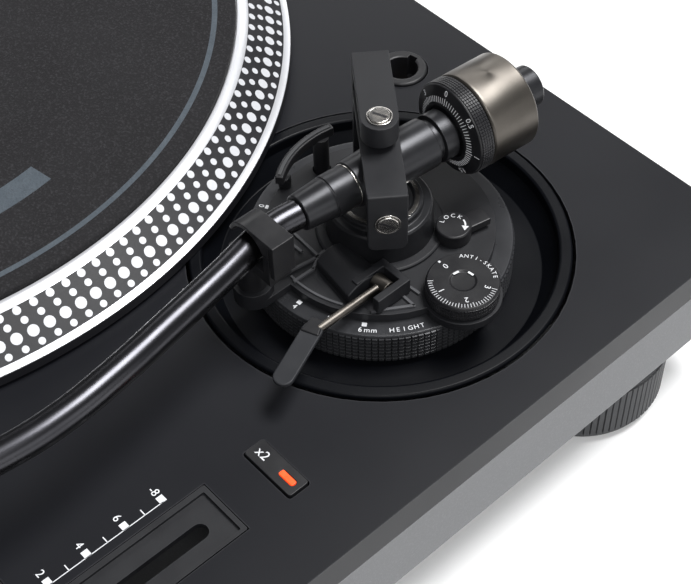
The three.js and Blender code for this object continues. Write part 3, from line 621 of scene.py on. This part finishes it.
def makeTargetLamp():
    lampPlace = standing("target_lamp", deckZ)
    cup = turned([(0, -20), (6.5, -20), (6.5, 0.8), (5.7, 1.4), (0, 1.4)], 48, 0.2)
    makePiece(cup, "target_lamp_body", "target_lamp", "blackMetal", lampPlace,
              ("target_lamp",))
    makePiece(hoop(4.2, 4.7, 1.38, 1.48, 48), "target_lamp_ring", "target_lamp", "print", lampPlace)


strobe = dict(top=22, knobRadius=15.5, inkZ=29.53)


def makeStrobe():
    towerPlace = standing("strobe_tower", deckZ)
    refined("strobe_tower", "chassis", "blackMetal", 0.35, 3, 25)
    refined("strobe_lens", "chassis", "redLens", 0.4, 3)
    r, top = strobe["knobRadius"], strobe["top"]
    knob = together(
        turned([(0, 12.4), (4.6, 12.4), (4.6, top + 0.5), (r - 0.4, top + 0.5), (r - 0.4, top + 6),
                (14, top + 7.5), (0, top + 7.5)], 96, 0.3, 3),
        knurled(r - 0.4, top + 0.9, top + 5.6, 90, 1, 0.28, 0.4))
    makePiece(knob, "power_knob_ribbed", "power_knob", "blackMetal", towerPlace,
              ("power_knob",))
    words = lettered("ON", 3, spinBy(100) @ shift(9.5, 0, strobe["inkZ"]) @ spinBy(-90))
    pointer = radialMark(9, 4.6, 0.6, 60, strobe["inkZ"])
    makePiece(together(words, pointer), "power_knob_print", "power_knob", "print", towerPlace)


def makeSocket():
    refined("headshell_socket", "chassis", "blackPlastic", 0.25, 3, 25)
    pins = []
    for x, y in arc(2.2, 45, 315, 3):  # four pins in a square
        pin = turned([(0, -15.9), (0.9, -15.9), (0.9, -14.6), (0, -14.4)], 16, 0.1)
        pins.append(moved(pin, shift(x, y, 0)))
    socketPlace = standing("headshell_socket", deckZ)
    makePiece(together(*pins), "socket_pins", "chassis", "brass", socketPlace)


# Terminals at the back
jack = dict(stem=6, sleeve=4.1, bore=1.7, sides=40)


def makeTerminals():
    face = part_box("terminal_plate")[1].y
    stem, sleeve, bore, sides = jack["stem"], jack["sleeve"], jack["bore"], jack["sides"]
    # the right jack's collar takes the glowing red lens finish, so it glows as painted light though it is no
    # lamp
    for node, surface in (("phono_jack_left", "print"), ("phono_jack_right", "redLens")):
        middle = boxMiddle(node)
        jackPlace = placed((middle.x, face, middle.z)) @ spinBy(-90, "X")
        shell = turned([(bore, 3), (bore, 8.7), (sleeve, 8.9), (sleeve, 2.6), (stem, 2.4), (stem, 0.3),
                        (0, 0.3), (0, 3), (bore, 3)], sides, 0.15)
        makePiece(shell, node + "_turned", "chassis", "brass", jackPlace, (node,))
        collar = hoop(4.25, 5.6, 2.5, 3.6, sides, 0.15)
        makePiece(collar, node + "_collar", "chassis", surface, jackPlace)
    middle = boxMiddle("ground_terminal")
    postPlace = placed((middle.x, face, middle.z)) @ spinBy(-90, "X")
    post = together(turned([(0, 0.3), (2, 0.3), (2, 2.5), (4.1, 2.5), (4.1, 7.9), (0, 7.9)], sides, 0.2),
                    knurled(4.05, 3, 7.5, 30, 1, 0.15, 0.3))
    makePiece(post, "ground_terminal_knurled", "chassis", "steel", postPlace, ("ground_terminal",))


# Tonearm well and height ring
well = dict(bore=33, floor=-8.6, base=-10.6, wall=58.2, lip=60.6, sides=240)
heightRing = dict(radius=41.9, low=-6.9, top=5.5, bore=31.2, columns=132, rows=7, markRadius=37.5,
                  textRadius=39.6)
heightScale = dict(zero=-150, perMm=100 / 6, most=6)


def makeWell():
    bore, floor, base, wall, lip = (well[key] for key in ("bore", "floor", "base", "wall", "lip"))
    bowl = turned([(bore, base), (52, base), (wall, -4), (wall, -1), (lip, -1), (lip, 0.3), (60.1, 0.95),
                   (57, 1.1), (56.3, 0.5), (56.2, -3), (51.6, floor), (bore, floor), (bore, base)],
                  well["sides"], 0.3, 3)
    # the bowl takes a darker copy of the deck paint, painted shade in the recess
    makePiece(bowl, "well_bowl", "chassis", "wellPaintedShade", basePlace, ("tonearm_well",))


def makeHeightRing():
    h = heightRing
    r, low, top, bore = h["radius"], h["low"], h["top"], h["bore"]
    body = turned([(bore, low), (r - 0.9, low), (r - 0.35, low + 0.5), (r - 0.35, top - 0.9), (r, top - 0.7),
                   (r - 0.3, top - 0.1), (r - 1.1, top - 0.05), (bore, top - 0.05), (bore, low)], 180, 0.12)
    side = knurled(r - 0.35, low + 0.7, top - 1.1, h["columns"], h["rows"], 0.4, 0.62)
    # the knurl takes a lighter copy of black metal, a painted highlight
    makePiece(together(body, side), "height_ring_knurled", "height_ring", "knurlPaintedHighlight", basePlace,
              ("height_ring",))
    z = top - 0.02
    marks = []
    for i in range(heightScale["most"] + 1):
        a = heightScale["zero"] + heightScale["perMm"] * i
        halfX, halfY = (0.45, 0.45) if i % 2 else (0.7, 0.75)
        mark = bar(-halfX, halfX, -halfY, halfY, z)
        marks.append(moved(mark, spinBy(a) @ shift(h["markRadius"], 0, 0)))
        if i == heightScale["most"]:
            marks.append(aroundText(str(i) + "mm", 2.5, h["textRadius"], a + 1.5, z, 3.0))
        elif i % 2 == 0:
            marks.append(aroundText(str(i), 2.5, h["textRadius"], a, z, 3.0))
    marks.append(aroundText("HEIGHT", 2.3, h["textRadius"], -31, z, 2.7))
    makePiece(together(*marks), "height_ring_print", "height_ring", "print", basePlace)


# Arm base: plate with its raised walls, turret, lever housing
plate = dict(top=8.7, wallWidth=0.95, wallHeight=0.8)
plateWalls = (
    ((-5.0, -36.0), (-3.2, -23.6), (-4.0, -14.2)),
    ((-0.6, -34.6), (-0.4, -27.4), (-2.4, -23.8)),
    ((-14.9, -22.1), (-3.0, -22.8)),
    ((-14.9, -25.5), (-8.5, -25.4)),
    ((1.6, -18.6), (5.2, -12.6), (28.4, -10.6)),
    ((-2.4, -16.6), (1.4, -14.2), (14.0, -12.9)),
    ((25.8, -14.8), (31.0, -15.0), (24.2, -25.6)),
)


def ridge(points, width, low, high):
    parts = []
    for (ax, ay), (bx, by) in zip(points, points[1:]):
        length = hypot(bx - ax, by - ay)
        part = boxed(-width / 2, length + width / 2, -width / 2, width / 2, low, high, 0.12)
        parts.append(moved(part, shift(ax, ay, 0) @ spinBy(degrees(atan2(by - ay, bx - ax)))))
    return together(*parts)


def makeArmBase():
    refined("arm_base_plate", "arm_base", "castBlack", 0.45, 3, 25)
    top = plate["top"]
    low, tall = top - 0.2, plate["wallHeight"]
    walls = [ridge(points, plate["wallWidth"], low, top + tall) for points in plateWalls]
    curved = arc(34.6, -95, -62, 30) + arc(33.8, -62, -95, 30)
    walls.append(sheeted(curved, low, top + tall * 0.7, 0.1))
    # the walls take a lighter copy of cast black, a painted highlight on the ridges
    makePiece(together(*walls), "plate_walls", "arm_base", "ridgePaintedHighlight", basePlace)
    turret = turned([(0, 9), (17.2, 9), (16.8, 12), (16.3, 19.4), (15.7, 20), (13.6, 20), (13.3, 20.6),
                     (13.3, 21.6), (12.9, 22), (10.6, 22), (10.2, 21.2), (0, 21.2)], 120, 0.25, 3)
    makePiece(turret, "turret", "arm_base", "blackMetal", basePlace, ("arm_turret",))
    collar = turned([(16.9, 9), (20.2, 9), (20.2, 9.5), (19.6, 9.9), (16.9, 9.9), (16.9, 9)], 120, 0.15)
    makePiece(collar, "turret_collar", "arm_base", "castBlack", basePlace)
    shine = hoop(10.9, 12.2, 21.9, 22.12, 120, 0.05)
    makePiece(shine, "turret_ring", "arm_base", "steel", basePlace)
    bolt = turned([(0, 8.9), (2.1, 8.9), (2.1, 12.6), (1.7, 13), (0, 13)], 32, 0.15)
    makePiece(moved(bolt, shift(-33.4, -10.4, 0)), "stop_pin", "arm_base", "blackMetal", basePlace)


hoodSides = (dict(x=-0.2, lag=0), dict(x=17.2, lag=2.6))
hoodShape = dict(front=-26.2, depth=11.4, drift=0.2, low=9, rise=5.6, bendFrom=0.2, bendBy=0.62, steps=12)


def makeCueing():
    refined("cue_housing", "arm_base", "castBlack", 0.3, 2)
    hood = bmesh.new()  # the sloping cover over the lever's damper
    h = hoodShape
    rows = []
    for side in hoodSides:
        row = []
        for i in range(h["steps"] + 1):
            share = i / h["steps"]
            x = side["x"] + share * h["drift"]
            y = h["front"] + h["depth"] * share - side["lag"] * (1 - share)
            z = h["low"] + h["rise"] * sin(pi * (h["bendFrom"] + h["bendBy"] * share))
            row.append(hood.verts.new((x, y, z)))
        rows.append(row)
    for a, b, c, d in zip(rows[0], rows[0][1:], rows[1][1:], rows[1]):
        hood.faces.new((a, b, c, d))
    for corner in thicken(hood, hood.faces[:], 0):
        corner.co.z = plate["top"] + 0.02
    bmesh.ops.recalc_face_normals(hood, faces=hood.faces)
    softenEdges(hood, 0.5, 3, 40)
    makePiece(hood, "lever_hood", "arm_base", "castBlack", basePlace, smooth=40)
    curved = sheeted(arc(32.6, 166, 219, 48) + arc(29.8, 219, 166, 48), 22.4, 25.7, 0.5, 3)
    post = moved(rod(2.6, 5.7, 22.9, 32, 0.1), shift(*arc(31.2, 174, 174, 1)[0], 0))
    lift = together(curved, post)
    makePiece(lift, "lift_arc", "cue_lift_bar", "blackPlastic", basePlace, ("cue_lift_bar",))
    pad = sheeted(arc(31.7, 168, 217, 48) + arc(30.7, 217, 168, 48), 25.6, 25.98, 0.12)
    makePiece(pad, "lift_pad", "cue_lift_bar", "rubber", basePlace)


lever = dict(length=24.6, width=6.4, thick=1.5, slant=-67, start=(-2.0, -24.5, 0))


def makeCueLever():
    pin = Vector(joints["cue_lever_lift"]["pos_m"])
    leverPlace = placed(pin)
    hub = moved(rod(2.5, -2.9, 2.9, 40, 0.3, 3), spinBy(90, "Y"))
    shaft = moved(rod(1.35, 0, 25.6, 32, 0.3, 3), spinBy(90, "X"))
    makePiece(together(hub, shaft), "lever_rod", "cue_lever", "gunMetal", leverPlace)
    half, end = lever["width"] / 2, lever["length"]
    outline = (arc(half, 90, 270, 16, half - 0.4, 0) + arc(half, -90, 90, 16, end - half, 0))
    blade = sheeted(outline, -lever["thick"] / 2, lever["thick"] / 2, 0.45, 3)
    neck = sheeted([(-1.4, -2), (4.6, -3), (4.6, 3), (-1.4, 2)], -1.25, 1.25, 0.5, 3)
    turn = shift(*lever["start"]) @ spinBy(lever["slant"])
    makePiece(moved(blade, turn), "lever_paddle", "cue_lever", "paddleGrey", leverPlace,
              ("cue_lever",))
    makePiece(moved(neck, turn), "lever_neck", "cue_lever", "blackPlastic", leverPlace)


# Gimbal
def screwHead(radius, height):
    return rod(radius, 0, height, 48, 0.25, 3)


pivotScrew = dict(radius=3.2, height=0.75, slotHalf=(2.304, 0.42), slotTurn=58, top=55.02, reach=23.02,
                  level=34)
sideways = Matrix(((0, 0, 1, 0), (1, 0, 0, 0), (0, 1, 0, 0), (0, 0, 0, 1)))
gimbalFrame = dict(reach=23, half=6, low=22.7, high=45.2, wall=2.6, bar=2, corner=2.6)


def makeGimbal():
    refined("gimbal_yoke", "arm_base", "castBlack", 0.8, 3, 30)
    f = gimbalFrame
    half, low, corner = f["half"], f["low"], f["corner"]
    outline = (arc(corner, 180, 270, 6, -half + corner, low + corner)
               + arc(corner, 270, 360, 6, half - corner, low + corner)
               + [(half, f["high"]), (-half, f["high"])])
    ends = [moved(sheeted(outline, x, x + f["wall"], 0.5, 3), sideways)
            for x in (f["reach"] - f["wall"], -f["reach"])]
    span, reach = f["half"] - f["corner"], f["reach"] - f["wall"] + 0.6
    bars = [boxed(-reach, reach, -half, half, f["high"] - f["bar"], f["high"], 0.3),
            boxed(-reach, reach, -span, span, f["low"], f["low"] + f["bar"], 0.3)]
    makePiece(together(*ends, *bars), "rounded_gimbal", "gimbal", "castBlack", gimbalPlace,
              ("gimbal_frame",))
    s = pivotScrew
    places = (
        ("top_pivot_screw", "arm_base", shift(0, 0, s["top"])),
        ("side_pivot_screw_right", "gimbal", shift(s["reach"], 0, s["level"]) @ spinBy(90, "Y")),
        ("side_pivot_screw_left", "gimbal", shift(-s["reach"], 0, s["level"]) @ spinBy(-90, "Y")),
    )
    r, height = s["radius"], s["height"]
    halfX, halfY = s["slotHalf"]
    for node, body, offset in places:
        spot = gimbalPlace @ offset
        # the slot is a thin black sheet on the screw head: painted shade standing in for the groove
        slotShade = boxed(-halfX, halfX, -halfY, halfY, height - 0.02, height + 0.04, 0)
        rim = hoop(r + 0.15, r + 0.7, 0, height * 0.5, 48, 0.1)
        pin = turned([(0, -8.6), (1.6, -7.6), (2, -6.5), (2, 0.1), (0, 0.1)], 24, 0.1)
        makePiece(together(screwHead(r, height), pin), node + "_head", body, "steel", spot, (node,))
        makePiece(rim, node + "_rim", body, "steel", spot)
        makePiece(moved(slotShade, spinBy(s["slotTurn"])), node + "_slot_painted_shade", body, "blackPlastic", spot)


# Arm along its own line; a turned piece's height is its distance ahead of the pivot
ahead = spinBy(90, "X")
tube = dict(radius=4.65, route=((30.5, 0), (38, 0), (46, 1.6), (60, 6), (82, 12.1), (104, 17.9), (121, 21.2),
                                (137, 22.2), (152, 20.9), (164, 17.8), (176, 13.2)))


def makeTube():
    curve = bpy.data.curves.new("tube", "CURVE")
    curve.dimensions = "3D"
    curve.bevel_depth = tube["radius"]
    curve.bevel_resolution = 10
    curve.resolution_u = 10
    curve.use_fill_caps = True
    line = curve.splines.new("BEZIER")
    line.bezier_points.add(len(tube["route"]) - 1)
    for point, (along, aside) in zip(line.bezier_points, tube["route"]):
        point.co = (aside, -along, 0)
        point.handle_left_type = point.handle_right_type = "AUTO"
    shape = curveShape(curve, 1e-3)
    bmesh.ops.recalc_face_normals(shape, faces=shape.faces)
    makePiece(shape, "s_tube", "tonearm", "darkChrome", armPlace, ("arm_tube",))


def makeArm():
    makeTube()
    sleeve = turned([(0, 12), (6.8, 12), (6.8, 19.7), (6.45, 19.8), (6.45, 20.2), (6.6, 20.4), (5.75, 29.9),
                     (5.4, 30.2), (0, 30.2)], 96, 0.15)
    makePiece(moved(sleeve, ahead), "sleeve", "tonearm", "satin", armPlace, ("front_sleeve",))
    glint = hoop(6.3, 7.0, 11.6, 12.0, 96, 0.08)
    makePiece(moved(glint, ahead), "sleeve_ring", "tonearm", "steel", armPlace)
    hub = turned([(0, -17.6), (8.1, -17.6), (8.1, 0), (7.4, 11.5), (0, 11.5)], 96, 0.3, 3)
    makePiece(moved(hub, ahead), "hub", "tonearm", "satin", armPlace, ("arm_hub",))
    rear = turned([(0, -55), (5.4, -54.6), (5.4, -25), (8, -24.6), (8, -20), (6.6, -19.8), (6.6, -17.8),
                   (0, -17.8)], 96, 0.2)
    makePiece(moved(rear, ahead), "rear_stub", "tonearm", "satin", armPlace, ("rear_shaft",))


dial = dict(labels=("0", "0.5", "1", "1.5", "2", "2.5", "3"), zeroAngle=97, step=-360 / 7,
            inner=(9.4, -25.2), outer=(15.0, -26.9), textRadius=13.6, inkLift=0.03)


def makeWeight():
    bush = turned([(5.8, -26.4), (8.4, -26.4), (8.4, -49.9), (6.8, -50.2), (6.8, -59.4), (6.2, -60),
                   (5.8, -60), (5.8, -26.4)], 96, 0.15)
    makePiece(moved(bush, ahead), "weight_stub", "weight_bush", "satin", armPlace,
              ("weight_bush",))
    weight = turned([(8.7, -32.4), (14.9, -32.4), (15.5, -33), (15.6, -34), (15.6, -49.2), (15, -49.8),
                     (11.5, -49.8), (11.2, -49.2), (8.7, -49.2), (8.7, -32.4)], 160, 0.2, 3)
    makePiece(moved(weight, ahead), "weight", "counterweight", "gunMetal", armPlace,
              ("counterweight",))
    (ri, zi), (ro, zo) = dial["inner"], dial["outer"]
    cone = turned([(8.7, zi), (ri, zi), (ro, zo), (15.2, -27.3), (15.2, -31.9), (8.7, -31.9), (8.7, zi)],
                  160, 0.15)
    grip = knurled(15.25, -31.9, -27.5, 96, 5, 0.17, 0.32)
    makePiece(moved(together(cone, grip), ahead), "dial", "force_dial", "blackPlastic", armPlace,
              ("force_dial",))
    lean = Matrix.Rotation(atan2(zi - zo, ro - ri), 4, "Y")
    inkZ, textRadius = zi + dial["inkLift"], dial["textRadius"]
    marks = []
    for i in range(10 * len(dial["labels"])):
        a = dial["zeroAngle"] + dial["step"] * i / 10
        big = i % 10 == 0
        start, length = (9.9, 2.3) if big else (10.1, 1.8)
        flat = spinBy(a) @ shift(ri, 0, inkZ) @ lean
        marks.append(moved(bar(start - ri, start - ri + length, -0.11, 0.11, 0), flat))
        if big:
            spot = spinBy(a) @ shift(textRadius, 0, inkZ - (textRadius - ri) * (zi - zo) / (ro - ri))
            marks.append(lettered(dial["labels"][i // 10], 2.7, spot @ lean @ spinBy(-90)))
    makePiece(moved(together(*marks), ahead), "dial_print", "force_dial", "print", armPlace)


def makeHead():
    collar = together(turned([(0, 0.4), (5.6, 0.4), (6.2, 1.4), (6.2, 10), (5.4, 12), (0, 12)], 72, 0.2),
                      knurled(6.1, 2.2, 9.4, 48, 1, 0.12, 0.3))
    makePiece(moved(collar, ahead), "collar", "locking_collar", "darkChrome", headPlace,
              ("locking_collar",))
    refined("headshell", "tonearm", "blackMetal", 0.5, 3)
    refined("cartridge", "tonearm", "blackPlastic", 0.6, 3)
    refined("stylus", "tonearm", "blackPlastic", 0.15)
    screws = [moved(screwHead(1.9, 1.1), shift(x, -52, 0.42)) for x in (-6.35, 6.35)]
    makePiece(together(*screws), "headshell_screws", "tonearm", "steel", headPlace)


# Fittings on the arm base
clip = dict(tubeX=-2.5, tubeZ=34, inner=6.9, outer=8.35, wallIn=4.4, wallOut=7.0, tabIn=7.5, tabOut=9.3,
            front=49.5, back=41.5, low=36.35, tabLow=29.1, top=42.35, under=40.55)


def makeRest():
    refined("arm_rest", "arm_base", "blackPlastic", 0.8, 3)
    c = clip
    outline = arc(c["inner"], 20, 163, 24, c["tubeX"], c["tubeZ"])
    outline += arc(c["outer"], 163, 92, 16, c["tubeX"], c["tubeZ"])
    outline += [(c["tabOut"], c["top"]), (c["tabOut"], c["tabLow"]), (c["tabIn"], c["tabLow"]),
                (c["tabIn"], c["under"]), (c["wallOut"], c["under"]), (c["wallOut"], c["low"]),
                (c["wallIn"], c["low"])]
    hook = moved(sheeted(outline, c["back"], c["front"], 0.45, 3), spinBy(90, "X"))
    makePiece(hook, "clip_hook", "arm_clip", "blackPlastic", basePlace, ("arm_clip",))


antiSkate = dict(radius=11.25, low=9.0, top=14.7, labels={"0": 179, "1": 258, "2": 323, "3": 387},
                 textRadius=7.5, scaleFrom=228, scaleTo=387, scaleSteps=30, dashes=(171, 96))


def makeAntiSkate():
    x, y, _ = joints["anti_skate_turn"]["pos_m"]
    knobPlace = placed((x, y, deckZ))
    a = antiSkate
    r, low, top = a["radius"], a["low"], a["top"]
    knob = together(
        turned([(0, low), (r - 0.5, low), (r - 0.25, low + 0.4), (r - 0.25, top - 1), (r, top - 0.8),
                (r - 0.5, top - 0.1), (4.2, top - 0.1), (3.6, top - 0.5), (0, top - 0.35)], 120, 0.15),
        knurled(r - 0.25, low + 0.5, top - 1.1, 84, 3, 0.14, 0.3))
    makePiece(knob, "anti_skate_dial", "anti_skate_knob", "blackPlastic", knobPlace,
              ("anti_skate_knob",))
    z = top - 0.07
    marks = [lettered(words, 2.7, spinBy(t) @ shift(a["textRadius"], 0, z) @ spinBy(-90))
             for words, t in a["labels"].items()]
    for i in range(a["scaleSteps"] + 1):
        t = a["scaleFrom"] + (a["scaleTo"] - a["scaleFrom"]) * i / a["scaleSteps"]
        start, length = (9.2, 1.3) if i % 5 else (8.9, 1.7)
        marks.append(radialMark(start, length, 0.16, t, z))
    marks.append(moved(bar(-0.35, 0.35, -0.35, 0.35, z), spinBy(180) @ shift(10.1, 0, 0)))
    makePiece(together(*marks), "anti_skate_print", "anti_skate_knob", "print", knobPlace)
    dashes = [moved(bar(-1.0, 1.0, -0.35, 0.35, top - 0.05), spinBy(t) @ shift(3.6, 0, 0) @ spinBy(90))
              for t in a["dashes"]]
    makePiece(together(*dashes), "anti_skate_dashes", "anti_skate_knob", "print", knobPlace)
    label = aroundText("ANTI-SKATE", 1.9, 9.7, 97, z, 9.2, True)
    makePiece(label, "anti_skate_label", "anti_skate_knob", "print", knobPlace)


lock = dict(radius=5.6, inkZ=13.72, textRadius=3.7, textAngle=155)


def makeLock():
    x, y, _ = joints["lock_turn"]["pos_m"]
    lockPlace = placed((x, y, deckZ))
    r, z = lock["radius"], lock["inkZ"]
    cap = turned([(0, 9), (r, 9), (r, 13.2), (r - 0.4, 13.7), (0, 13.7)], 72, 0.2, 3)
    tab = moved(boxed(-3, 3, 3, 12, 9.9, 12.7, 0.5), spinBy(-12))
    makePiece(together(cap, tab), "lock_knob", "lock_lever", "blackPlastic", lockPlace,
              ("lock_lever",))
    words = aroundText("LOCK", 2.1, lock["textRadius"], lock["textAngle"], z, 34, True)
    shaft = sheeted(arc(3.9, 80, 40, 8) + arc(3.4, 40, 80, 8), z - 0.02, z + 0.04, 0)
    head = sheeted([(-1.1, 0), (1.1, 0), (0, -1.9)], z - 0.02, z + 0.04, 0)
    moved(head, spinBy(38) @ shift(3.65, 0, 0))
    makePiece(together(words, shaft, head), "lock_print", "lock_lever", "print", lockPlace)


# Parts inside, shown with their own shapes
hidden = dict(motor_stator="copper", rotor_magnet="magnetGrey", bearing_housing="castAluminium",
              arm_pillar="castAluminium", main_board="boardGreen", power_supply="blackMetal")


def makeHidden():
    for node, surface in hidden.items():
        data = frame["nodes"][node].data
        data.materials.clear()
        data.materials.append(surfaces[surface])


for make in (makePlinth, makeFeet, makePlatter, makeMat, makeFader, makeButtons, makeTargetLamp, makeStrobe,
             makeSocket, makeTerminals, makeWell, makeHeightRing, makeArmBase, makeCueing, makeCueLever,
             makeGimbal, makeArm, makeWeight, makeHead, makeRest, makeAntiSkate, makeLock, makeHidden):
    make()
    print("made:", make.__name__[4:])


# Floor and light
studio = dict(floorSize=6, floorColour=(0.93, 0.93, 0.93), floorRough=0.9, world=0.13,
              worldColour=(0.95, 0.97, 1), lampAim=(0.1, 0, 0.05))
lamps = dict(
    key=dict(spot=(0.36, 0.66, 1.65), size=(0.8, 0.55), power=36),
    front=dict(spot=(1.5, -0.9, 1.9), size=(1.3, 1.3), power=30),
    back=dict(spot=(-1.15, 1.25, 0.95), size=(1.7, 0.5), power=9),
    side=dict(spot=(1.9, 0.25, 0.6), size=(1.3, 0.8), power=5),
)


def areaLight(name, spot, size, power):
    data = bpy.data.lights.new(name, "AREA")
    data.shape = "RECTANGLE"
    data.size, data.size_y = size
    data.energy = power
    lamp = bpy.data.objects.new(name, data)
    bpy.context.scene.collection.objects.link(lamp)
    lamp.location = spot
    lamp.rotation_euler = (Vector(spot) - Vector(studio["lampAim"])).to_track_quat("Z", "Y").to_euler()


def makeStudio():
    shape = bmesh.new()
    bmesh.ops.create_grid(shape, x_segments=2, y_segments=2, size=studio["floorSize"])
    mesh = bpy.data.meshes.new("floor")
    shape.to_mesh(mesh)
    shape.free()
    floor = bpy.data.objects.new("floor", mesh)
    bpy.context.scene.collection.objects.link(floor)
    look = bpy.data.materials.new("floorPaper")
    look.use_nodes = True
    shader = look.node_tree.nodes["Principled BSDF"]
    shader.inputs["Base Color"].default_value = (*studio["floorColour"], 1)
    shader.inputs["Roughness"].default_value = studio["floorRough"]
    mesh.materials.append(look)
    world = bpy.data.worlds.new("world")
    world.use_nodes = True
    sky = world.node_tree.nodes["Background"]
    sky.inputs["Color"].default_value = (*studio["worldColour"], 1)
    sky.inputs["Strength"].default_value = studio["world"]
    bpy.context.scene.world = world
    for name, lamp in lamps.items():
        areaLight(name, **lamp)


makeStudio()
bpy.context.scene.view_settings.view_transform = "Standard"
print("studio made")
bpy.context.view_layer.update()
